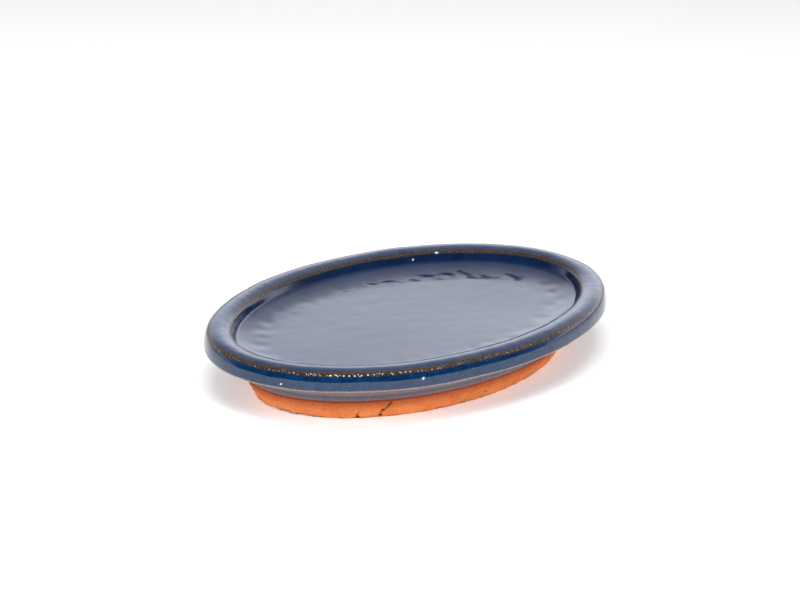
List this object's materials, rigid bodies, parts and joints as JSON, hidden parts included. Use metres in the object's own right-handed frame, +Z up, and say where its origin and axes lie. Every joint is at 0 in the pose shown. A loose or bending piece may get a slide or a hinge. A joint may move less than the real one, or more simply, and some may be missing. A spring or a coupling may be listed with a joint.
{
  "type": "bonsai drip tray",
  "caption": "Shallow oval drip tray for a small bonsai pot: a flat glazed well inside an overhanging rolled rim, on a tapered foot ring of bare clay.",
  "frame": {"origin": "on the ground under the middle of the foot, which is the middle of the tray's box in plan", "axes": "+Z up, +X along the tray's length, +Y across it"},
  "size_m": [0.15, 0.106, 0.023],
  "materials": {
    "bare_clay": "unglazed red earthenware, matt, fine grog, a little darker next to the glaze",
    "foot_clay": "unglazed orange-red earthenware, matt, gritty, with a few fine cracks and crumbled lower edges",
    "well_glaze": "glossy deep blue glaze, gently wavy, lying flat in the well",
    "rim_glaze": "glossy mottled blue glaze that breaks to brown where it runs thin along the rim's edges"
  },
  "bodies": {
    "root": {"floor_slab": "bare_clay", "rim_band": "bare_clay", "foot_ring": "foot_clay", "well_glaze": "well_glaze", "rim_glaze": "rim_glaze"}
  },
  "joints": []
}
